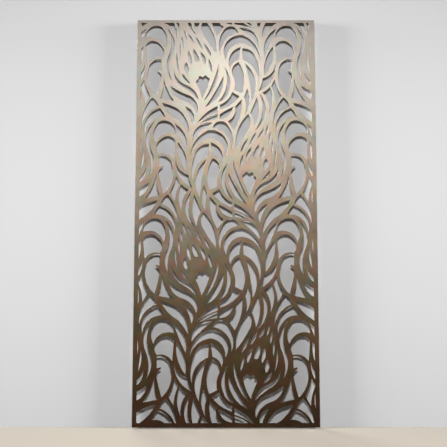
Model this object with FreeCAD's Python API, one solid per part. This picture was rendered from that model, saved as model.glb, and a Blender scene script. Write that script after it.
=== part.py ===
"""Laser-cut decorative panel: an openwork feather sheet on a slim rear frame.

Millimetres. X runs across the panel, Y from its face to its back, Z up. The origin is on the
floor, under the middle of the panel's width and depth.
"""

import FreeCAD, Part
import math
import os
from FreeCAD import Vector

# Driving dimensions of the openwork sheet
PANEL_WIDTH = 800.0
PANEL_HEIGHT = 1800.0
SHEET_THICKNESS = 6.0
BORDER_WIDTH = 18.0
TOP_BORDER_WIDTH = 13.0
REPEAT_WIDTH = 586.5
CUT_PATH_TOLERANCE = 0.8
SMALLEST_CUT_WIDTH = 4.0
FLOOR_GAP = 5.0

# Rear frame of mitred box section, held to the sheet by foam bonding strips
FRAME_SETBACK = 0.5
TUBE_WIDTH = 15.0
TUBE_DEPTH = 20.0
TUBE_WALL = 1.5
BOND_THICKNESS = 1.0
BOND_WIDTH = 10.0

# Corner keys pushed into the mitred tubes
KEY_ARM = 48.0
KEY_CLEARANCE = 0.15
KEY_LEAD_IN = 2.5

# Keyholes in the back of the stiles, for two wall screws
KEYHOLE_DROP = 120.0
KEYHOLE_HEAD_RADIUS = 5.0
KEYHOLE_SLOT_WIDTH = 5.5
KEYHOLE_SLOT_RISE = 11.0

# Square rubber pads that hold the frame off the wall
PAD_SIDE = 12.0
PAD_THICKNESS = 6.0
PAD_BEVEL = 1.5
PAD_END_DISTANCE = 70.0

# Levelling glides, screwed into threaded blocks inside the bottom rail
GLIDE_SIDE_DISTANCE = 70.0
GLIDE_STUD_RADIUS = 3.0
GLIDE_FOOT_ACROSS_FLATS = 14.0
GLIDE_STUD_OVERRUN = 1.0
BLOCK_LENGTH = 24.0
BLOCK_HEIGHT = 8.0
THREAD_CLEARANCE = 0.05
STUD_HOLE_CLEARANCE = 0.4

CUT_OVERRUN = 1.0

# The pattern: one repeat is cut out of the sheet as drawn, and the next one up is its mirror
# image. Every point below is a share of REPEAT_WIDTH, measured from the middle of the panel
# and from the sheet's lower edge.
RISE_SHARE = 0.75

# Narrow leaf-shaped slits: tip, middle, tip, width at the middle
RAY_SHARES = (
    ((0.132, 0.513), (0.119, 0.457), (0.107, 0.400), 0.021),
    ((0.195, 0.567), (0.168, 0.508), (0.159, 0.458), 0.027),
    ((0.284, 0.574), (0.277, 0.515), (0.263, 0.457), 0.028),
    ((0.303, 0.483), (0.301, 0.434), (0.292, 0.389), 0.034),
    ((0.336, 0.393), (0.308, 0.349), (0.270, 0.312), 0.021),
)
DOWN_SLIT_SHARES = (
    ((0.342, 0.690), (0.333, 0.645), (0.326, 0.595), 0.015),
    ((0.354, 0.632), (0.350, 0.570), (0.348, 0.505), 0.012),
    ((0.376, 0.555), (0.373, 0.475), (0.356, 0.395), 0.014),
    ((0.323, 0.745), (0.311, 0.698), (0.301, 0.652), 0.016),
    ((0.288, 0.715), (0.267, 0.674), (0.240, 0.637), 0.018),
    ((0.230, 0.685), (0.205, 0.636), (0.179, 0.586), 0.019),
    ((0.166, 0.636), (0.139, 0.583), (0.110, 0.530), 0.021),
)

# Every other cut-out is a closed chain of sides. A side lists its corner and then the points
# that it passes on the way to the next side's corner: none for a straight side, one for an arc,
# three for two arcs that meet at the second point.
EYE_SHARES = (
    # Broad ray over the eye
    (
        ((0.248, 0.588), (0.250, 0.537)),
        ((0.229, 0.486),),
        ((0.203, 0.489), (0.216, 0.542)),
    ),
    # Scalloped crown under the eye
    (
        ((0.122, 0.351),),
        ((0.156, 0.380),),
        ((0.180, 0.361), (0.197, 0.373)),
        ((0.207, 0.349), (0.222, 0.342)),
        ((0.228, 0.321), (0.200, 0.260)),
        ((0.181, 0.200), (0.145, 0.272)),
    ),
)
BARB_SHARES = (
    # Left of the feather, from the eye outwards
    (
        ((0.056, 0.463), (0.092, 0.342)),
        ((0.167, 0.181), (0.078, 0.311)),
    ),
    (
        ((0.020, 0.370), (0.081, 0.250)),
        ((0.157, 0.132), (0.055, 0.216)),
    ),
    (
        ((0.010, 0.443), (-0.008, 0.315)),
        ((0.057, 0.172), (0.013, 0.194), (-0.016, 0.240), (-0.034, 0.335)),
    ),
    # Right of the feather, from the eye outwards
    (
        ((0.397, 0.413), (0.384, 0.344), (0.338, 0.290), (0.268, 0.243)),
        ((0.210, 0.188), (0.240, 0.258), (0.310, 0.306), (0.363, 0.347)),
    ),
    (
        ((0.420, 0.297), (0.396, 0.230), (0.335, 0.183), (0.262, 0.143)),
        ((0.220, 0.068), (0.221, 0.158), (0.280, 0.222), (0.352, 0.252)),
    ),
    (
        ((0.310, 0.133), (0.278, 0.072)),
        ((0.255, -0.006), (0.249, 0.083)),
    ),
    # Across the stem
    (
        ((0.064, 0.137), (0.147, 0.086)),
        ((0.217, 0.006), (0.135, 0.060)),
        ((0.059, 0.090),),
    ),
    (
        ((0.062, 0.078), (0.128, 0.051)),
        ((0.193, 0.007), (0.130, 0.025)),
        ((0.067, 0.036),),
    ),
    (
        ((-0.054, 0.130), (0.000, 0.103)),
        ((0.046, 0.073),),
        ((0.047, 0.034), (-0.019, 0.060)),
    ),
    (
        ((-0.103, 0.213),),
        ((-0.049, 0.248), (-0.012, 0.186)),
        ((0.047, 0.147),),
        ((0.042, 0.112), (-0.042, 0.152)),
    ),
)
ARCH_SHARES = (
    # Two windows under the arch, and the band over them
    (
        ((-0.127, 0.593), (-0.194, 0.574), (-0.234, 0.510), (-0.259, 0.410)),
        ((-0.249, 0.308), (-0.214, 0.438)),
        ((-0.130, 0.502),),
    ),
    (
        ((-0.113, 0.603), (-0.042, 0.552)),
        ((-0.033, 0.432), (-0.056, 0.479)),
        ((-0.098, 0.503),),
    ),
    (
        ((-0.265, 0.503), (-0.231, 0.617), (-0.130, 0.698), (-0.003, 0.638)),
        ((-0.005, 0.498), (-0.042, 0.603), (-0.115, 0.637), (-0.198, 0.606)),
    ),
    # Outer crescents, left and right
    (
        ((-0.102, 0.756), (-0.222, 0.715)),
        ((-0.252, 0.614), (-0.182, 0.694)),
    ),
    (
        ((-0.099, 0.720), (-0.052, 0.768), (0.008, 0.748), (0.052, 0.645)),
        ((0.039, 0.534), (0.007, 0.660)),
    ),
    # Tall leaves inside the arch
    (
        ((-0.122, 0.237),),
        ((-0.065, 0.265), (-0.069, 0.315), (-0.056, 0.370), (-0.050, 0.434)),
        ((-0.099, 0.484), (-0.141, 0.360)),
    ),
    (
        ((-0.150, 0.473), (-0.181, 0.325)),
        ((-0.198, 0.184), (-0.229, 0.310)),
    ),
)
LEAF_SHARES = (
    # Leaves that rise between one feather's stem and the next
    (
        ((-0.163, 0.274),),
        ((-0.139, 0.206), (-0.154, 0.140)),
        ((-0.147, 0.070), (-0.181, 0.170)),
    ),
    (
        ((-0.237, 0.205),),
        ((-0.186, 0.084), (-0.209, 0.028)),
        ((-0.220, -0.034), (-0.251, 0.084)),
    ),
    (
        ((-0.119, 0.188),),
        ((-0.071, 0.134), (-0.064, 0.069)),
        ((-0.016, 0.019),),
        ((-0.063, -0.054), (-0.109, 0.052)),
    ),
    (
        ((-0.258, 0.234), (-0.305, 0.100)),
        ((-0.223, -0.050), (-0.279, 0.095)),
    ),
    (
        ((-0.337, 0.290), (-0.309, 0.259)),
        ((-0.279, 0.245), (-0.319, 0.182)),
        ((-0.326, 0.070), (-0.356, 0.175)),
    ),
    (
        ((-0.374, 0.346),),
        ((-0.348, 0.294), (-0.372, 0.229)),
        ((-0.382, 0.152),),
        ((-0.422, 0.220), (-0.392, 0.286)),
    ),
    (
        ((-0.378, 0.476), (-0.340, 0.386)),
        ((-0.282, 0.356), (-0.270, 0.300)),
        ((-0.250, 0.254), (-0.334, 0.318)),
    ),
    (
        ((-0.363, 0.609), (-0.304, 0.500)),
        ((-0.297, 0.376), (-0.350, 0.470)),
    ),
    (
        ((-0.386, 0.750), (-0.312, 0.668)),
        ((-0.297, 0.532), (-0.344, 0.634)),
    ),
    (
        ((0.170, 0.826), (0.189, 0.766), (0.168, 0.696), (0.124, 0.622)),
        ((0.075, 0.557), (0.094, 0.710)),
    ),
    (
        ((0.486, 0.162), (0.425, 0.145), (0.364, 0.116), (0.306, 0.046)),
        ((0.279, -0.086), (0.312, -0.030), (0.360, 0.024), (0.426, 0.074)),
    ),
    (
        ((0.438, 0.956), (0.468, 0.928)),
        ((0.487, 0.886), (0.412, 0.840)),
        ((0.359, 0.730), (0.376, 0.850)),
    ),
    (
        ((0.496, 0.873), (0.520, 0.844)),
        ((0.540, 0.804), (0.441, 0.778)),
        ((0.385, 0.668), (0.406, 0.804)),
    ),
)
BULB_SHARES = (
    # Bulb with a small hooked barb
    (
        ((0.492, 0.506), (0.552, 0.495), (0.593, 0.428), (0.596, 0.320)),
        ((0.529, 0.212), (0.508, 0.290)),
        ((0.491, 0.370), (0.501, 0.397)),
        ((0.523, 0.416),),
        ((0.520, 0.428),),
        ((0.494, 0.421),),
    ),
    # Windows above it
    (
        ((0.618, 0.619), (0.564, 0.653), (0.506, 0.628), (0.475, 0.576)),
        ((0.493, 0.517), (0.551, 0.515)),
        ((0.606, 0.470),),
    ),
    (
        ((0.467, 0.596), (0.451, 0.684), (0.494, 0.766), (0.566, 0.768)),
        ((0.617, 0.674), (0.540, 0.676)),
    ),
    # Three-cornered opening beside it
    (
        ((0.477, 0.361), (0.480, 0.280)),
        ((0.501, 0.198),),
        ((0.392, 0.176), (0.439, 0.252)),
    ),
    # Long ribbon between the bulb column and the feather
    (
        ((0.457, 0.769), (0.405, 0.690), (0.407, 0.550), (0.433, 0.440)),
        ((0.414, 0.340), (0.454, 0.440), (0.434, 0.548), (0.421, 0.660)),
    ),
)

# Places worked out from the sizes above
SHEET_FOOT = FLOOR_GAP
SHEET_TOP = SHEET_FOOT + PANEL_HEIGHT
TOTAL_DEPTH = SHEET_THICKNESS + BOND_THICKNESS + TUBE_DEPTH + PAD_THICKNESS
FACE_Y = -TOTAL_DEPTH / 2
SHEET_BACK_Y = FACE_Y + SHEET_THICKNESS
FRAME_FRONT_Y = SHEET_BACK_Y + BOND_THICKNESS
FRAME_BACK_Y = FRAME_FRONT_Y + TUBE_DEPTH
FRAME_MIDDLE_Y = FRAME_FRONT_Y + TUBE_DEPTH / 2
FRAME_HALF_WIDTH = PANEL_WIDTH / 2 - FRAME_SETBACK
FRAME_FOOT = SHEET_FOOT + FRAME_SETBACK
FRAME_TOP = SHEET_TOP - FRAME_SETBACK
STILE_X = FRAME_HALF_WIDTH - TUBE_WIDTH / 2
GLIDE_X = PANEL_WIDTH / 2 - GLIDE_SIDE_DISTANCE


def closed_wire(points):
    """A closed chain of straight lines through the points."""
    return Part.makePolygon(list(points) + [points[0]])


def prism(points, direction):
    """The closed outline through the points, pushed along a direction."""
    return Part.Face(closed_wire(points)).extrude(direction)


def rod(radius, length, start, direction):
    """A round rod from a start point along a direction."""
    return Part.makeCylinder(radius, length, start, direction)


def mirror_x(shape):
    """The other hand of a left-side piece."""
    return shape.mirror(Vector(0, 0, 0), Vector(1, 0, 0))


def arc_steps(start, middle, end):
    """Points along an arc, close enough for straight cuts between them; the end is left out."""
    arc = Part.ArcOfCircle(start, middle, end)
    sweep = arc.LastParameter - arc.FirstParameter
    step = 2 * math.acos(1 - CUT_PATH_TOLERANCE / arc.Radius)
    return arc.discretize(Number=math.ceil(sweep / step) + 1)[:-1]


def side_steps(points):
    """The cutting path of one side: a straight line, or arcs that each pass three of its points."""
    if len(points) == 2:
        return points[:1]
    path = []
    for first in range(0, len(points) - 1, 2):
        path.extend(arc_steps(*points[first:first + 3]))
    return path


def cut_wire(sides, column, row):
    """A cut-out's closed outline on the panel's face, in one copy of the pattern."""
    hand = -1 if row % 2 else 1

    def on_face(share):
        across = (hand * share[0] + column) * REPEAT_WIDTH
        up = (share[1] + row * RISE_SHARE) * REPEAT_WIDTH
        return Vector(across, FACE_Y, SHEET_FOOT + up)

    corners = [side[0] for side in sides]
    path = []
    for index, side in enumerate(sides):
        end = corners[(index + 1) % len(corners)]
        path.extend(side_steps([on_face(share) for share in (*side, end)]))
    return closed_wire(path)


def leaf_sides(tip, middle, other_tip, width):
    """The two arcs of a narrow leaf, as sides of a cut-out."""
    run = (other_tip[0] - tip[0], other_tip[1] - tip[1])
    reach = width / 2 / math.hypot(*run)
    left = (middle[0] - run[1] * reach, middle[1] + run[0] * reach)
    right = (middle[0] + run[1] * reach, middle[1] - run[0] * reach)
    return ((tip, left), (other_tip, right))


def pattern_sides():
    """Every cut-out of one repeat, as a chain of sides."""
    slits = [leaf_sides(*shares) for shares in RAY_SHARES + DOWN_SLIT_SHARES]
    return [*slits, *EYE_SHARES, *BARB_SHARES, *ARCH_SHARES, *LEAF_SHARES, *BULB_SHARES]


def window_face():
    """The field inside the border, where the pattern may be cut."""
    half = PANEL_WIDTH / 2 - BORDER_WIDTH
    foot = SHEET_FOOT + BORDER_WIDTH
    top = SHEET_TOP - TOP_BORDER_WIDTH
    corners = [Vector(x, FACE_Y, z) for x, z in ((-half, foot), (half, foot), (half, top), (-half, top))]
    return Part.Face(closed_wire(corners))


def wide_enough(face):
    """Whether a trimmed cut-out is still as wide as the narrowest cut."""
    return face.Area / (face.OuterWire.Length / 2) > SMALLEST_CUT_WIDTH / 2


def trimmed_wires(wire, window):
    """A cut-out's outline, cut back to the window where it runs over the border."""
    box = wire.BoundBox
    field = window.BoundBox
    if box.XMin > field.XMax or box.XMax < field.XMin or box.ZMin > field.ZMax or box.ZMax < field.ZMin:
        return []
    if box.XMin > field.XMin and box.XMax < field.XMax and box.ZMin > field.ZMin and box.ZMax < field.ZMax:
        return [wire]
    inside = Part.Face(wire).common(window)
    return [face.OuterWire for face in inside.Faces if wide_enough(face)]


def face_sheet():
    """The openwork sheet: a plate with the whole feather pattern cut through it."""
    window = window_face()
    columns = math.ceil(PANEL_WIDTH / REPEAT_WIDTH)
    rows = math.ceil(PANEL_HEIGHT / (RISE_SHARE * REPEAT_WIDTH))
    holes = []
    for sides in pattern_sides():
        for row in range(-1, rows + 1):
            for column in range(-columns, columns + 1):
                holes.extend(trimmed_wires(cut_wire(sides, column, row), window))
    half = PANEL_WIDTH / 2
    corners = ((-half, SHEET_FOOT), (half, SHEET_FOOT), (half, SHEET_TOP), (-half, SHEET_TOP))
    outline = closed_wire([Vector(x, FACE_Y, z) for x, z in corners])
    sheet = Part.makeFace([outline] + holes, "Part::FaceMakerBullseye")
    return sheet.extrude(Vector(0, SHEET_THICKNESS, 0))


def tube_section(length, along, outward):
    """Box section mitred at both ends, with its outer face towards outward.

    It is drawn from the frame's outer corner: along runs to the next corner.
    """
    across = outward * -TUBE_WIDTH
    mitre = along * TUBE_WIDTH
    run = along * length
    solid = prism([Vector(), run, run - mitre + across, mitre + across], Vector(0, TUBE_DEPTH, 0))
    start = outward * -TUBE_WALL - along * CUT_OVERRUN + Vector(0, TUBE_WALL, 0)
    clear_run = along * (length + CUT_OVERRUN * 2)
    clear_across = outward * (TUBE_WALL * 2 - TUBE_WIDTH)
    corners = [start, start + clear_run, start + clear_run + clear_across, start + clear_across]
    return solid.cut(prism(corners, Vector(0, TUBE_DEPTH - TUBE_WALL * 2, 0)))


def keyhole(x):
    """Round entry hole with a slot above it, through a stile's back wall."""
    centre = Vector(x, FRAME_BACK_Y - TUBE_WALL - CUT_OVERRUN, SHEET_TOP - KEYHOLE_DROP)
    depth = Vector(0, TUBE_WALL + CUT_OVERRUN * 2, 0)
    half = KEYHOLE_SLOT_WIDTH / 2
    head = rod(KEYHOLE_HEAD_RADIUS, depth.Length, centre, depth)
    slot_end = rod(half, depth.Length, centre + Vector(0, 0, KEYHOLE_SLOT_RISE), depth)
    corners = [
        centre + Vector(-half, 0, 0),
        centre + Vector(half, 0, 0),
        centre + Vector(half, 0, KEYHOLE_SLOT_RISE),
        centre + Vector(-half, 0, KEYHOLE_SLOT_RISE),
    ]
    return head.fuse([slot_end, prism(corners, depth)]).removeSplitter()


def left_stile():
    """Upright tube on the panel's left side, with its keyhole."""
    stile = tube_section(FRAME_TOP - FRAME_FOOT, Vector(0, 0, 1), Vector(-1, 0, 0))
    stile.translate(Vector(-FRAME_HALF_WIDTH, FRAME_FRONT_Y, FRAME_FOOT))
    return stile.cut(keyhole(-STILE_X))


def rail(corner_z, outward):
    """Cross tube of the frame, with its outer face at a given height."""
    tube = tube_section(FRAME_HALF_WIDTH * 2, Vector(1, 0, 0), outward)
    tube.translate(Vector(-FRAME_HALF_WIDTH, FRAME_FRONT_Y, corner_z))
    return tube


def bottom_rail():
    """Lower cross tube, drilled from below for the glides' studs."""
    tube = rail(FRAME_FOOT, Vector(0, 0, -1))
    for side in (-1, 1):
        start = Vector(side * GLIDE_X, FRAME_MIDDLE_Y, FRAME_FOOT - CUT_OVERRUN)
        hole = rod(GLIDE_STUD_RADIUS + STUD_HOLE_CLEARANCE, TUBE_WALL + CUT_OVERRUN * 2, start, Vector(0, 0, 1))
        tube = tube.cut(hole)
    return tube


def corner_key(hand_x, hand_z):
    """Angle piece inside a mitred corner, with tapered lead-ins on both arms."""
    band_end = TUBE_WIDTH - TUBE_WALL - KEY_CLEARANCE
    end = TUBE_WALL + KEY_ARM
    outline = (
        (TUBE_WALL, TUBE_WALL),
        (end, TUBE_WALL),
        (end, band_end - KEY_LEAD_IN),
        (end - KEY_LEAD_IN, band_end),
        (band_end, band_end),
        (band_end, end - KEY_LEAD_IN),
        (band_end - KEY_LEAD_IN, end),
        (TUBE_WALL, end),
    )
    corner_z = FRAME_TOP if hand_z > 0 else FRAME_FOOT
    points = []
    for across, up in outline:
        x = hand_x * (FRAME_HALF_WIDTH - across)
        z = corner_z - hand_z * up
        points.append(Vector(x, FRAME_FRONT_Y + TUBE_WALL, z))
    return prism(points, Vector(0, TUBE_DEPTH - TUBE_WALL * 2 - KEY_CLEARANCE, 0))


def bond_strip(low_x, high_x, low_z, high_z):
    """Foam bonding strip between the sheet's border and the frame."""
    size = (high_x - low_x, BOND_THICKNESS, high_z - low_z)
    return Part.makeBox(*size, Vector(low_x, SHEET_BACK_Y, low_z))


def bond_strips():
    """The four bonding strips, each centred on its tube."""
    margin = (TUBE_WIDTH - BOND_WIDTH) / 2
    outer_x = FRAME_HALF_WIDTH - margin
    inner_x = outer_x - BOND_WIDTH
    foot = FRAME_FOOT + margin
    top = FRAME_TOP - margin
    return {
        "left_bond_strip": bond_strip(-outer_x, -inner_x, foot, top),
        "right_bond_strip": bond_strip(inner_x, outer_x, foot, top),
        "bottom_bond_strip": bond_strip(-inner_x, inner_x, foot, foot + BOND_WIDTH),
        "top_bond_strip": bond_strip(-inner_x, inner_x, top - BOND_WIDTH, top),
    }


def wall_pad(hand_x, z):
    """Square rubber pad on a stile's back, bevelled towards the wall."""
    corner = Vector(hand_x * STILE_X - PAD_SIDE / 2, FRAME_BACK_Y, z - PAD_SIDE / 2)
    pad = Part.makeBox(PAD_SIDE, PAD_THICKNESS, PAD_SIDE, corner)
    wall_side = FRAME_BACK_Y + PAD_THICKNESS / 2
    return pad.makeChamfer(PAD_BEVEL, [edge for edge in pad.Edges if edge.BoundBox.YMin > wall_side])


def threaded_block(side):
    """Block inside the bottom rail that a glide's stud screws into."""
    depth = TUBE_DEPTH - TUBE_WALL * 2
    foot = FRAME_FOOT + TUBE_WALL
    corner = Vector(side * GLIDE_X - BLOCK_LENGTH / 2, FRAME_FRONT_Y + TUBE_WALL, foot)
    block = Part.makeBox(BLOCK_LENGTH, depth, BLOCK_HEIGHT, corner)
    bore_start = Vector(side * GLIDE_X, FRAME_MIDDLE_Y, foot - CUT_OVERRUN)
    bore = rod(GLIDE_STUD_RADIUS + THREAD_CLEARANCE, BLOCK_HEIGHT + CUT_OVERRUN * 2, bore_start, Vector(0, 0, 1))
    return block.cut(bore)


def levelling_glide(side):
    """Hexagonal foot on a threaded stud, screwed home against the bottom rail."""
    corner_radius = GLIDE_FOOT_ACROSS_FLATS / 2 / math.cos(math.pi / 6)
    corners = []
    for turn in range(6):
        angle = turn * math.pi / 3
        x = side * GLIDE_X + corner_radius * math.cos(angle)
        corners.append(Vector(x, FRAME_MIDDLE_Y + corner_radius * math.sin(angle), 0))
    foot = prism(corners, Vector(0, 0, FRAME_FOOT))
    stud_length = TUBE_WALL + BLOCK_HEIGHT + GLIDE_STUD_OVERRUN
    stud = rod(GLIDE_STUD_RADIUS, stud_length, Vector(side * GLIDE_X, FRAME_MIDDLE_Y, FRAME_FOOT), Vector(0, 0, 1))
    return foot.fuse(stud)


def all_nodes():
    """Every separate piece, by name."""
    stile = left_stile()
    low = SHEET_FOOT + PAD_END_DISTANCE
    high = SHEET_TOP - PAD_END_DISTANCE
    return {
        "face_sheet": face_sheet(),
        "left_stile": stile,
        "right_stile": mirror_x(stile),
        "top_rail": rail(FRAME_TOP, Vector(0, 0, 1)),
        "bottom_rail": bottom_rail(),
        "upper_left_key": corner_key(-1, 1),
        "upper_right_key": corner_key(1, 1),
        "lower_left_key": corner_key(-1, -1),
        "lower_right_key": corner_key(1, -1),
        **bond_strips(),
        "upper_left_pad": wall_pad(-1, high),
        "upper_right_pad": wall_pad(1, high),
        "lower_left_pad": wall_pad(-1, low),
        "lower_right_pad": wall_pad(1, low),
        "left_block": threaded_block(-1),
        "right_block": threaded_block(1),
        "left_glide": levelling_glide(-1),
        "right_glide": levelling_glide(1),
    }


def main():
    os.makedirs("parts", exist_ok=True)
    for name, shape in all_nodes().items():
        shape.exportStep(f"parts/{name}.step")
        print(name, len(shape.Solids), "solid(s)", round(shape.Volume), "mm3", "valid", shape.isValid())


main()
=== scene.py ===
"""Looks of the laser-cut decorative panel: bronze openwork sheet, rear frame, glides and pads."""
import math

import bmesh
import bpy
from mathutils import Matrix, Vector


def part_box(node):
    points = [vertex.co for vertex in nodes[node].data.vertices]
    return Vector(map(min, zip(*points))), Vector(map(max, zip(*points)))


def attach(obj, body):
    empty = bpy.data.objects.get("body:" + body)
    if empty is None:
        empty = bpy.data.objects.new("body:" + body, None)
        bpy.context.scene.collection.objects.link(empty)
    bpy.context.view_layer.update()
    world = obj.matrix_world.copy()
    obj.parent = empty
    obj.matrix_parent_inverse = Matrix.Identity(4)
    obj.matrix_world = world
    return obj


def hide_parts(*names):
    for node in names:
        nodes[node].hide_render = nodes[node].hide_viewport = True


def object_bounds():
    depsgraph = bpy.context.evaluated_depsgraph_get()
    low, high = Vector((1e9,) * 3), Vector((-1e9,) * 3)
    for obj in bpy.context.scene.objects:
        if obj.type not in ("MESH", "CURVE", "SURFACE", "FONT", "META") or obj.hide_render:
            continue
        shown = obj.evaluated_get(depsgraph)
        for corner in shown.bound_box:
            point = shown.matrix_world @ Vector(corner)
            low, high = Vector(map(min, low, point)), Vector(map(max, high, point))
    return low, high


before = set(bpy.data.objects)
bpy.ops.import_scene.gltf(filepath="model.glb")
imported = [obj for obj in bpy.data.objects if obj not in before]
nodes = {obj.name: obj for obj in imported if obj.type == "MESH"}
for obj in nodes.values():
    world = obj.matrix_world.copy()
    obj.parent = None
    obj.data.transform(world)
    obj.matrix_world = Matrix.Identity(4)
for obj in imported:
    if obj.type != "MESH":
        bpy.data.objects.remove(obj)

cad_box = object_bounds()


def linear(red, green, blue):
    """A display colour of 0 to 255 as scene light, by the standard curve of such colours."""
    def channel(value):
        share = value / 255
        return share / 12.92 if share <= 0.04045 else ((share + 0.055) / 1.055) ** 2.4
    return (channel(red), channel(green), channel(blue))


def opaque(red, green, blue):
    """A display colour of 0 to 255 as the value of a colour socket."""
    return (*linear(red, green, blue), 1)


# Lengths and places are in metres: X across the panel, Y from its face to its back, Z up.

# Camera: the photograph's side and its focal length are in pixels, the sensor in millimetres
PICTURE_SIDE = 447
FOCAL_LENGTH = 700
SENSOR_SIDE = 36.0
CAMERA_PLACE = (-0.0107, -3.0666, 0.5244)
CAMERA_TILT = math.radians(96.579)

# Lamps: place, the place each looks at, width and height, power, and spread where it is narrow
KEY_LAMP = ((0, -2.5, 1.68), (0, 0, 0.3), (0.4, 0.2), 49)
WASH_LAMP = ((6, -0.9, 1.9), (0, 0, 0.6), (1.2, 2.0), 100, math.radians(60))
SHEEN_LAMP = ((0.02, -3.0, 2.4), (0, 0, 1.5), (0.8, 0.9), 13)
BACK_LAMP = ((-1.4, 3.0, 2.2), (0, 0, 0.9), (1.6, 1.6), 34, math.radians(80))
FILL_LEVEL = 0.01

# Stage. A fade lists how far from the origin the paint starts to give way to the far colour, and
# from where on only that colour shows.
STAGE_REACH = 9.0
WALL_GAP = 0.001
WALL_HEIGHT = 6.0
WALL_FADE = (2.25, 3.6)
FLOOR_FADE = (1.3, 3.4)
WALL_COLOUR = opaque(200, 200, 201)
WALL_FAR_COLOUR = opaque(214, 214, 215)
FLOOR_COLOUR = opaque(160, 153, 143)
FLOOR_FAR_COLOUR = opaque(214, 210, 203)
FLOOR_BOUNCE_COLOUR = opaque(95, 92, 88)
BACKGROUND_COLOUR = opaque(232, 232, 233)

# Outlines of the cuts: the largest step off a true arc, how alike two steps of one arc are in
# length and in turn, the sharpest turn inside an arc, and the grid on which equal corners match
ARC_TOLERANCE = 0.00012
SAME_STEP_SHARE = 0.01
SAME_TURN = math.radians(1.0)
GENTLE_TURN = math.radians(30.0)
GRID = 1e-6

# Edges: how far and how finely they are rounded, and the angle from which one stays sharp
SHEET_ROUNDING = 0.0004
SHEET_ROUNDING_STEPS = 1
TUBE_ROUNDING = 0.0008
TUBE_ROUNDING_STEPS = 2
SHARP_ANGLE = math.radians(40)

# Meshes of the tubes: how close two corners must be to be joined, and two faces to lie in line
WELD_DISTANCE = GRID * 10
MERGE_ANGLE = math.radians(1)

# The sheet's polygons: from how much forwards or backwards one belongs to the face or the back,
# from how much it is flat, and the place of each finish in the mesh's list
FACING_SHARE = 0.2
FLAT_SHARE = 0.999
FACE_FINISH, WALL_FINISH, BACK_FINISH = range(3)

# Noise runs from 0 to 1 about this middle
NOISE_MIDDLE = 0.5

# The Mix node's colour inputs and result, by number as its other kinds have the same names
MIX_COLOUR_A, MIX_COLOUR_B = 6, 7
MIX_RESULT = 2

# Bronze lacquer at heights given as shares of the panel's top, with painted light: pale champagne
# at the head and dark brown at the foot stand for how light and its reflection fall on the metal,
# and the very top is painted a little darker again
PANEL_TOP = cad_box[1].z
BRONZE_AND_PAINTED_LIGHT = (
    (0.00, (53, 35, 20)),
    (0.12, (67, 49, 28)),
    (0.20, (80, 62, 41)),
    (0.30, (92, 77, 57)),
    (0.45, (126, 110, 91)),
    (0.60, (151, 137, 120)),
    (0.75, (151, 143, 130)),
    (0.88, (155, 149, 138)),
    (0.96, (155, 147, 138)),
    (1.00, (142, 135, 128)),
)
# Painted shade on the cut walls: the share of the face's colour they keep
CUT_WALL_SHADE = 0.12

# Mottle of the face: its strength at the foot and what it loses up to the head, how far clouds,
# grain and shifts of hue go, and the two ends of each shift
FOOT_VIGOUR = 1.3
VIGOUR_LOSS = 1.05
FACE_TONE = 0.97
CLOUD_DEPTH = 1.1
CLOUD_ROUGHNESS = 0.08
GRAIN_DEPTH = 0.05
HUE_DEPTH = 3.0
RUST_TINT = (1.20, 0.91, 0.92, 1)
OLIVE_TINT = (0.83, 1.08, 1.04, 1)
AMBER_TINT = (1.0, 1.0, 0.74, 1)
GREY_TINT = (1.0, 1.0, 1.24, 1)

# The other pieces' own colours
BACK_COAT = linear(74, 61, 49)
FRAME_COAT = linear(52, 43, 35)
KEY_METAL = linear(196, 196, 198)
FOAM = linear(52, 52, 54)
RUBBER = linear(48, 47, 47)
ZINC = linear(186, 186, 182)

# Metal rubbed bare around the keyholes: where they are, how far and how strongly it is rubbed, how
# much less height counts than width, how deep scratches go, and between which values of rubbing
# the coat gives way
BARE_METAL = opaque(112, 104, 94)
KEYHOLE_ACROSS = 0.392
KEYHOLE_HEIGHT = 1.69
RUB_REACH = 0.0085
RUB_STRENGTH = 1.2
RUB_HEIGHT_SHARE = 0.35
SCRATCH_DEPTH = 1.6
RUB_EDGE = (0.45, 0.9)

# The frame's grain, and what bare metal and dust change in its coat
FRAME_GRAIN_DEPTH = 0.1
FRAME_METALLIC = 0.5
BARE_SMOOTHING = 0.05
BARE_METALLIC_GAIN = 0.3
DUST_ROUGHENING = 0.5
DUST_METALLIC_LOSS = 0.5

# Dust that has settled on what faces up, as a share of full cover
DUST = opaque(158, 152, 142)
FRAME_DUST_SHARE = 0.5
CUT_WALL_DUST_SHARE = 0.2

# Scuffs on the glides: their height, how uneven it is, where they start and end, how dark they are
SCUFF_HEIGHT = 0.0035
SCUFF_UNEVENNESS = 0.002
SCUFF_EDGE = (0.001, 0.0045)
SCUFF_DEPTH = 0.5


class Wire:
    """A node's output. Arithmetic on it adds Math nodes."""

    def __init__(self, finish, socket):
        self.finish = finish
        self.socket = socket

    def maths(self, operation, *values):
        return self.finish.node("Math", {"operation": operation}, dict(enumerate(values)))

    def __add__(self, other):
        return self.maths("ADD", self, other)

    def __radd__(self, other):
        return self.maths("ADD", other, self)

    def __sub__(self, other):
        return self.maths("SUBTRACT", self, other)

    def __rsub__(self, other):
        return self.maths("SUBTRACT", other, self)

    def __mul__(self, other):
        return self.maths("MULTIPLY", self, other)

    def __rmul__(self, other):
        return self.maths("MULTIPLY", other, self)

    def __truediv__(self, other):
        return self.maths("DIVIDE", self, other)

    def size(self):
        return self.maths("ABSOLUTE", self)

    def root(self):
        return self.maths("SQRT", self)

    def at_least(self, other):
        return self.maths("MAXIMUM", self, other)


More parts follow.
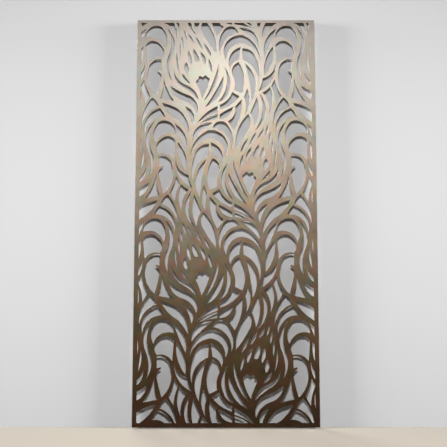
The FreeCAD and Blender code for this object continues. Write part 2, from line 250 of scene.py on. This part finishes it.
class Finish:
    """A material, or the world, and the nodes that make it."""

    def __init__(self, name, world=None):
        self.material = world or bpy.data.materials.new(name)
        self.material.use_nodes = True
        self.tree = self.material.node_tree
        self.tree.nodes.clear()

    def node(self, kind, settings, inputs, output=0):
        """A new node: its settings first, then its sockets' values or links."""
        node = self.tree.nodes.new("ShaderNode" + kind)
        for name, value in settings.items():
            if name == "stops":
                self.set_stops(node.color_ramp, value)
            else:
                setattr(node, name, value)
        for name, value in inputs.items():
            if isinstance(value, Wire):
                self.tree.links.new(value.socket, node.inputs[name])
            else:
                node.inputs[name].default_value = value
        return Wire(self, node.outputs[output]) if output is not None else None

    @staticmethod
    def set_stops(ramp, stops):
        """The ramp's stops: (position, colour) pairs."""
        while len(ramp.elements) < len(stops):
            ramp.elements.new(1.0)
        for element, (position, colour) in zip(ramp.elements, stops):
            element.position = position
            element.color = (*colour, 1.0)

    def coordinate(self, axis):
        """One axis of the place on the piece, in metres."""
        place = self.node("TexCoord", {}, {}, "Object")
        return self.node("SeparateXYZ", {}, {0: place}, axis)

    def noise(self, scale, detail, stretch=(1, 1, 1)):
        """Soft noise from 0 to 1; a low number in stretch draws it out along that axis."""
        place = self.node("TexCoord", {}, {}, "Object")
        stretched = self.node("Mapping", {}, {"Vector": place, "Scale": stretch})
        return self.node("TexNoise", {}, {"Vector": stretched, "Scale": scale, "Detail": detail})

    def seen_directly(self):
        """1 for the camera and for what gloss and clear pieces show, 0 for light thrown back."""
        seen, mirrored, clear = (
            self.node("LightPath", {}, {}, "Is %s Ray" % kind)
            for kind in ("Camera", "Glossy", "Transmission")
        )
        return seen.at_least(mirrored).at_least(clear)

    def facing(self, axis):
        """How much the surface faces along an axis, from 0 to 1."""
        normal = self.node("NewGeometry", {}, {}, "Normal")
        return self.node("SeparateXYZ", {}, {0: normal}, axis).at_least(0.0)

    def settled_dust(self, share):
        """Patchy dust on what faces up, from 0 to the share."""
        return self.facing("Z") * self.noise(scale=90.0, detail=5.0) * share

    def steps(self, value, low, high):
        """0 below the low value, 1 above the high one, with a soft change between them."""
        sockets = {"Value": value, "From Min": low, "From Max": high}
        return self.node("MapRange", {"interpolation_type": "SMOOTHSTEP"}, sockets)

    def tint(self, colour, factor):
        """A colour made lighter or darker by a factor."""
        return self.node("VectorMath", {"operation": "SCALE"}, {0: colour, "Scale": factor})

    def times(self, colour, tint):
        """A colour multiplied by another, channel by channel."""
        return self.node("VectorMath", {"operation": "MULTIPLY"}, {0: colour, 1: tint})

    def between(self, factor, colour_a, colour_b):
        """Colour a where the factor is 0, colour b where it is 1."""
        sockets = {"Factor": factor, MIX_COLOUR_A: colour_a, MIX_COLOUR_B: colour_b}
        return self.node("Mix", {"data_type": "RGBA"}, sockets, MIX_RESULT)

    def bump(self, height, distance):
        """A bump of a distance in metres from a height between 0 and 1."""
        return self.node("Bump", {}, {"Height": height, "Distance": distance})

    def surface(self, **values):
        """The principled shader, wired to the material's output."""
        sockets = {name.replace("_", " ").title(): value for name, value in values.items()}
        self.output(self.node("BsdfPrincipled", {}, sockets))
        return self.material

    def output(self, shader):
        """Wires a shader to the output of the material or the world."""
        kind = "World" if isinstance(self.material, bpy.types.World) else "Material"
        self.node("Output" + kind, {}, {"Surface": shader}, None)


def ranged(noise, low, span):
    """Values from low to low + span, as the noise runs from 0 to 1."""
    return low + noise * span


def bronze_with_painted_light(finish, shade):
    """The bronze colour by height with painted light, pale at the head and dark at the foot, times
    a shade factor that paints shade where it is below 1.
    """
    height = finish.coordinate("Z") / PANEL_TOP
    stops = [(share, tuple(shade * part for part in linear(*colour))) for share, colour in BRONZE_AND_PAINTED_LIGHT]
    return finish.node("ValToRGB", {"stops": stops}, {"Fac": height})


def lacquered_sheet():
    """Satin bronze lacquer with a fine grain and painted light by height, mottled with rust and
    olive, most near the foot.
    """
    finish = Finish("bronze_lacquer_painted_light")
    grain = finish.noise(scale=900.0, detail=2.0)
    clouds = finish.noise(scale=19.0, detail=4.0) - NOISE_MIDDLE
    rusting = finish.noise(scale=30.0, detail=3.0) - NOISE_MIDDLE
    greying = finish.noise(scale=42.0, detail=3.0) - NOISE_MIDDLE
    vigour = FOOT_VIGOUR - finish.coordinate("Z") * VIGOUR_LOSS / PANEL_TOP
    tone = FACE_TONE + clouds * vigour * CLOUD_DEPTH + grain * GRAIN_DEPTH
    # Painted light: the base colour is pale at the head and dark at the foot
    even = finish.tint(bronze_with_painted_light(finish, shade=1.0), tone)
    hue = finish.between(NOISE_MIDDLE - rusting * vigour * HUE_DEPTH, RUST_TINT, OLIVE_TINT)
    warmth = finish.between(NOISE_MIDDLE + greying * vigour * HUE_DEPTH, AMBER_TINT, GREY_TINT)
    colour = finish.times(finish.times(even, hue), warmth)
    rough = ranged(grain, low=0.26, span=0.08) + clouds * CLOUD_ROUGHNESS
    normal = finish.bump(grain, distance=0.00004)
    return finish.surface(base_color=colour, metallic=0.7, roughness=rough, normal=normal)


def cut_edge():
    """The walls of the cuts: the lacquer in painted shade, at a small share of the face's colour,
    with cutting lines and a little dust.
    """
    finish = Finish("cut_edge_painted_shade")
    lines = finish.noise(scale=1500.0, detail=1.0, stretch=(1, 0.05, 1))
    # Painted shade: the cut walls keep only a small share of the face's colour
    dark = bronze_with_painted_light(finish, shade=CUT_WALL_SHADE)
    lacquer = finish.tint(dark, ranged(lines, low=0.85, span=0.3))
    colour = finish.between(finish.settled_dust(CUT_WALL_DUST_SHARE), lacquer, DUST)
    normal = finish.bump(lines, distance=0.00006)
    return finish.surface(base_color=colour, metallic=0.4, roughness=0.55, normal=normal)


def sheet_back():
    """The sheet's back: the dark ground coat alone, a little cloudy."""
    finish = Finish("back_coat")
    clouds = finish.noise(scale=6.0, detail=4.0)
    grain = finish.noise(scale=700.0, detail=2.0)
    colour = finish.tint(BACK_COAT, ranged(clouds, low=0.8, span=0.4))
    rough = ranged(grain, low=0.5, span=0.15)
    normal = finish.bump(grain, distance=0.00005)
    return finish.surface(base_color=colour, metallic=0.4, roughness=rough, normal=normal)


def frame_lacquer():
    """Dark bronze lacquer on box section, rubbed bare around the keyholes, with dust on top."""
    finish = Finish("frame_lacquer")
    clouds = finish.noise(scale=9.0, detail=4.0)
    grain = finish.noise(scale=800.0, detail=2.0)
    across = finish.coordinate("X").size() - KEYHOLE_ACROSS
    up = finish.coordinate("Z") - KEYHOLE_HEIGHT
    away = (across * across + up * up * RUB_HEIGHT_SHARE).root() / RUB_REACH
    scratches = finish.noise(scale=500.0, detail=3.0, stretch=(1, 1, 0.2))
    rubbing = RUB_STRENGTH - away + (scratches - NOISE_MIDDLE) * SCRATCH_DEPTH
    rubbed = finish.steps(rubbing, *RUB_EDGE) * finish.facing("Y")
    dust = finish.settled_dust(FRAME_DUST_SHARE)
    tone = ranged(clouds, low=0.85, span=0.2) + grain * FRAME_GRAIN_DEPTH
    worn = finish.between(rubbed, finish.tint(FRAME_COAT, tone), BARE_METAL)
    colour = finish.between(dust, worn, DUST)
    coat_rough = ranged(clouds, low=0.42, span=0.12)
    rough = coat_rough - rubbed * BARE_SMOOTHING + dust * DUST_ROUGHENING
    metallic = FRAME_METALLIC + rubbed * BARE_METALLIC_GAIN - dust * DUST_METALLIC_LOSS
    normal = finish.bump(grain, distance=0.00005)
    return finish.surface(base_color=colour, metallic=metallic, roughness=rough, normal=normal)


def key_metal():
    """Bare extruded corner key."""
    finish = Finish("key_metal")
    lines = finish.noise(scale=600.0, detail=2.0, stretch=(1, 0.04, 1))
    colour = finish.tint(KEY_METAL, ranged(lines, low=0.85, span=0.2))
    rough = ranged(lines, low=0.32, span=0.15)
    return finish.surface(base_color=colour, metallic=1.0, roughness=rough)


def bond_foam():
    """Closed-cell foam, its cut side open with small pores."""
    finish = Finish("bond_foam")
    pores = finish.noise(scale=2200.0, detail=3.0)
    colour = finish.tint(FOAM, ranged(pores, low=0.7, span=0.6))
    normal = finish.bump(pores, distance=0.0002)
    return finish.surface(base_color=colour, roughness=0.92, normal=normal)


def pad_rubber():
    """Moulded rubber with a light bloom."""
    finish = Finish("pad_rubber")
    bloom = finish.noise(scale=300.0, detail=4.0)
    colour = finish.tint(RUBBER, ranged(bloom, low=0.8, span=0.4))
    rough = ranged(bloom, low=0.72, span=0.15)
    normal = finish.bump(bloom, distance=0.0001)
    return finish.surface(base_color=colour, roughness=rough, normal=normal)


def zinc_plate():
    """Zinc plating with faint turning marks, a dulled bloom and dark scuffs where it stands."""
    finish = Finish("zinc_plate")
    bloom = finish.noise(scale=160.0, detail=4.0)
    marks = finish.noise(scale=1800.0, detail=1.0, stretch=(0.1, 0.1, 1))
    below = SCUFF_HEIGHT - finish.coordinate("Z") + bloom * SCUFF_UNEVENNESS
    scuffs = finish.steps(below, *SCUFF_EDGE)
    tone = ranged(bloom, low=0.8, span=0.3) - scuffs * SCUFF_DEPTH
    colour = finish.tint(ZINC, tone)
    rough = ranged(bloom, low=0.3, span=0.2)
    normal = finish.bump(marks, distance=0.00005)
    return finish.surface(base_color=colour, metallic=1.0, roughness=rough, normal=normal)


def key_of(corner):
    """A place on the face, on a fine grid, so that equal corners match."""
    return (round(corner.x / GRID), round(corner.z / GRID))


def face_loops(mesh, face_y):
    """The closed outlines on the sheet's face, as lists of (x, z) places in order."""
    used = {}
    for polygon in mesh.polygons:
        corners = [mesh.vertices[index].co for index in polygon.vertices]
        if max(corner.y for corner in corners) > face_y + GRID:
            continue
        for here, there in zip(corners, corners[1:] + corners[:1]):
            edge = frozenset((key_of(here), key_of(there)))
            used[edge] = used.get(edge, 0) + 1
    beside = {}
    for edge, count in used.items():
        if count == 1:
            here, there = edge
            beside.setdefault(here, []).append(there)
            beside.setdefault(there, []).append(here)
    loops = []
    while beside:
        here = next(iter(beside))
        loop = []
        while here in beside:
            loop.append(Vector(here) * GRID)
            onward = [place for place in beside.pop(here) if place in beside]
            here = onward[0] if onward else None
        loops.append(loop)
    return loops


def circle_through(start, middle, end):
    """Centre of the circle through three places, or None where they lie in line."""
    first = middle - start
    second = end - start
    cross = 2 * first.cross(second)
    if abs(cross) < GRID * GRID:
        return None
    first_square = first.length_squared
    second_square = second.length_squared
    x = (second.y * first_square - first.y * second_square) / cross
    y = (first.x * second_square - second.x * first_square) / cross
    return start + Vector((x, y))


def finer_arc(run):
    """Places along the true arc through a run of even steps; the end is left out."""
    centre = circle_through(run[0], run[len(run) // 2], run[-1])
    if centre is None:
        return run[:1]
    radius = (run[0] - centre).length
    reach = [place - centre for place in run]
    sweep = sum(-here.angle_signed(there) for here, there in zip(reach, reach[1:]))
    step = 2 * math.acos(max(1 - ARC_TOLERANCE / radius, 0))
    count = max(math.ceil(abs(sweep) / step), 1)
    begin = math.atan2(reach[0].y, reach[0].x)
    angles = [begin + sweep * index / count for index in range(count)]
    return [centre + radius * Vector((math.cos(angle), math.sin(angle))) for angle in angles]


def joints_of(loop):
    """Indices of a loop's places that aren't inside an arc of even steps."""
    size = len(loop)
    steps = [loop[(index + 1) % size] - loop[index] for index in range(size)]
    turns = [steps[index - 1].angle_signed(steps[index]) for index in range(size)]
    joints = []
    for index in range(size):
        before = steps[index - 1].length
        after = steps[index].length
        even = abs(before - after) < SAME_STEP_SHARE * max(before, after)
        alike = any(
            abs(turns[index] - turns[near % size]) < SAME_TURN for near in (index - 1, index + 1)
        )
        gentle = abs(turns[index]) < GENTLE_TURN
        if not (even and (gentle or alike)):
            joints.append(index)
    return joints


def smooth_loop(loop):
    """The same outline with each arc cut in finer steps."""
    joints = joints_of(loop)
    if not joints:
        return loop
    size = len(loop)
    places = []
    for start, end in zip(joints, joints[1:] + [joints[0] + size]):
        run = [loop[index % size] for index in range(start, end + 1)]
        places.extend(finer_arc(run) if len(run) > 2 else run[:1])
    return places


def openwork_sheet():
    """The cut sheet with true arcs and slightly rounded edges."""
    node = nodes["face_sheet"]
    low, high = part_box("face_sheet")
    curve = bpy.data.curves.new("openwork_outline", "CURVE")
    curve.dimensions = "2D"
    curve.fill_mode = "BOTH"
    curve.extrude = (high.y - low.y) / 2 - SHEET_ROUNDING
    curve.bevel_depth = SHEET_ROUNDING
    curve.bevel_resolution = SHEET_ROUNDING_STEPS
    curve.offset = -SHEET_ROUNDING
    for loop in face_loops(node.data, low.y):
        places = smooth_loop(loop)
        spline = curve.splines.new("POLY")
        spline.points.add(len(places) - 1)
        for point, place in zip(spline.points, places):
            point.co = (place.x, place.y, 0, 1)
        spline.use_cyclic_u = True
    outline = bpy.data.objects.new("openwork_outline", curve)
    bpy.context.scene.collection.objects.link(outline)
    bpy.context.view_layer.update()
    depsgraph = bpy.context.evaluated_depsgraph_get()
    mesh = bpy.data.meshes.new_from_object(outline.evaluated_get(depsgraph))
    bpy.data.objects.remove(outline)
    for vertex in mesh.vertices:
        across, up, depth = vertex.co
        vertex.co = (across, (low.y + high.y) / 2 - depth, up)
    sheet = bpy.data.objects.new("openwork_sheet", mesh)
    bpy.context.scene.collection.objects.link(sheet)
    dress_sheet(mesh)
    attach(sheet, "panel")
    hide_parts("face_sheet")


def dress_sheet(mesh):
    """Face, cut walls and back each get their own finish."""
    mesh.materials.clear()
    for material in (lacquered_sheet(), cut_edge(), sheet_back()):
        mesh.materials.append(material)
    mesh.update()
    for polygon in mesh.polygons:
        facing = polygon.normal.y
        polygon.use_smooth = abs(facing) <= FLAT_SHARE
        if facing < -FACING_SHARE:
            polygon.material_index = FACE_FINISH
        elif facing > FACING_SHARE:
            polygon.material_index = BACK_FINISH
        else:
            polygon.material_index = WALL_FINISH
    mesh.set_sharp_from_angle(angle=SHARP_ANGLE)


def softened(name, body, material):
    """A copy of a tube with softened edges, which stands for it."""
    piece = bpy.data.objects.new(name + "_finished", nodes[name].data.copy())
    bpy.context.scene.collection.objects.link(piece)
    mesh = piece.data
    mesh.materials.clear()
    mesh.materials.append(material)
    work = bmesh.new()
    work.from_mesh(mesh)
    bmesh.ops.remove_doubles(work, verts=work.verts, dist=WELD_DISTANCE)
    bmesh.ops.dissolve_limit(
        work, angle_limit=MERGE_ANGLE, verts=work.verts, edges=work.edges, delimit=set()
    )
    work.to_mesh(mesh)
    work.free()
    bevel = piece.modifiers.new("rounding", "BEVEL")
    bevel.width = TUBE_ROUNDING
    bevel.segments = TUBE_ROUNDING_STEPS
    bevel.limit_method = "ANGLE"
    bevel.angle_limit = SHARP_ANGLE
    bevel.harden_normals = True
    for polygon in mesh.polygons:
        polygon.use_smooth = True
    mesh.set_sharp_from_angle(angle=SHARP_ANGLE)
    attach(piece, body)
    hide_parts(name)


def dress(names, material):
    """Gives CAD nodes their finish."""
    for name in names:
        mesh = nodes[name].data
        mesh.materials.clear()
        mesh.materials.append(material)


def camera():
    """The camera at the photograph's viewpoint."""
    data = bpy.data.cameras.new("camera")
    data.sensor_width = SENSOR_SIDE
    data.lens = SENSOR_SIDE * FOCAL_LENGTH / PICTURE_SIDE
    eye = bpy.data.objects.new("camera", data)
    eye.location = CAMERA_PLACE
    eye.rotation_euler = (CAMERA_TILT, 0, 0)
    bpy.context.scene.collection.objects.link(eye)
    bpy.context.scene.camera = eye


def stage_plane(name, corners, material):
    """A flat piece of the stage."""
    mesh = bpy.data.meshes.new(name)
    mesh.from_pydata(corners, [], [(0, 1, 2, 3)])
    mesh.materials.append(material)
    plane = bpy.data.objects.new(name, mesh)
    bpy.context.scene.collection.objects.link(plane)
    return plane


def pale_beyond(finish, paint, colour, fade):
    """The paint near the panel, and a plain pale colour where the lamps no longer reach."""
    place = finish.node("TexCoord", {}, {}, "Object")
    reach = finish.node("VectorMath", {"operation": "LENGTH"}, {0: place}, "Value")
    far = finish.steps(reach, *fade) * finish.seen_directly()
    pale = finish.node("Emission", {}, {"Color": colour})
    return finish.node("MixShader", {}, {0: far, 1: paint, 2: pale})


def plaster():
    """Pale wall, shown only from the panel's side."""
    finish = Finish("plaster")
    paint = finish.node("BsdfDiffuse", {}, {"Color": WALL_COLOUR})
    front = pale_beyond(finish, paint, WALL_FAR_COLOUR, WALL_FADE)
    clear = finish.node("BsdfTransparent", {}, {})
    behind = finish.node("NewGeometry", {}, {}, "Backfacing")
    finish.output(finish.node("MixShader", {}, {0: behind, 1: front, 2: clear}))
    return finish.material


def floor_paint():
    """Plain pale floor, which throws back a darker colour than it shows."""
    finish = Finish("floor_paint")
    colour = finish.between(finish.seen_directly(), FLOOR_BOUNCE_COLOUR, FLOOR_COLOUR)
    paint = finish.node("BsdfDiffuse", {}, {"Color": colour})
    finish.output(pale_beyond(finish, paint, FLOOR_FAR_COLOUR, FLOOR_FADE))
    return finish.material


def stage():
    """Pale floor, and a pale wall just behind the pads that lights, mirrors and shades nothing."""
    reach = STAGE_REACH
    stage_plane(
        "floor",
        [(-reach, -reach, 0), (reach, -reach, 0), (reach, reach, 0), (-reach, reach, 0)],
        floor_paint(),
    )
    y = cad_box[1].y + WALL_GAP
    wall = stage_plane(
        "wall",
        [(-reach, y, 0), (reach, y, 0), (reach, y, WALL_HEIGHT), (-reach, y, WALL_HEIGHT)],
        plaster(),
    )
    wall.visible_diffuse = False
    wall.visible_glossy = False
    wall.visible_shadow = False


def lamp(name, place, aim, sides, power, spread=math.pi):
    """A soft white lamp that looks at a place."""
    data = bpy.data.lights.new(name, "AREA")
    data.shape = "RECTANGLE"
    data.size, data.size_y = sides
    data.energy = power
    data.spread = spread
    thing = bpy.data.objects.new(name, data)
    thing.location = place
    thing.rotation_euler = (Vector(aim) - Vector(place)).to_track_quat("-Z", "Y").to_euler()
    thing.visible_camera = False
    bpy.context.scene.collection.objects.link(thing)
    return thing


def lights():
    """A strip for crisp shadow edges, two washes along the wall, a soft box that gives only
    sheen, and a fill from the back."""
    lamp("key", *KEY_LAMP).visible_glossy = False
    (across, depth, height), *rest = WASH_LAMP
    for side in (-1, 1):
        lamp("side_wash", (side * across, depth, height), *rest).visible_glossy = False
    lamp("sheen_box", *SHEEN_LAMP).visible_diffuse = False
    lamp("back_fill", *BACK_LAMP)


def surroundings():
    """Faint even light all round, and a pale background."""
    world = bpy.data.worlds.new("surroundings")
    bpy.context.scene.world = world
    backdrop = Finish("surroundings", world)
    light = backdrop.node("Background", {}, {"Color": (1, 1, 1, 1), "Strength": FILL_LEVEL})
    pale = backdrop.node("Background", {}, {"Color": BACKGROUND_COLOUR})
    backdrop.output(
        backdrop.node("MixShader", {}, {0: backdrop.seen_directly(), 1: light, 2: pale})
    )


camera()
stage()
lights()
surroundings()
openwork_sheet()
coat = frame_lacquer()
for name in ("left_stile", "right_stile", "top_rail", "bottom_rail"):
    softened(name, "panel", coat)
dress(("upper_left_key", "upper_right_key", "lower_left_key", "lower_right_key"), key_metal())
dress(("left_bond_strip", "right_bond_strip", "top_bond_strip", "bottom_bond_strip"), bond_foam())
dress(("upper_left_pad", "upper_right_pad", "lower_left_pad", "lower_right_pad"), pad_rubber())
dress(("left_block", "right_block", "left_glide", "right_glide"), zinc_plate())

bpy.context.scene.view_settings.view_transform = "Standard"
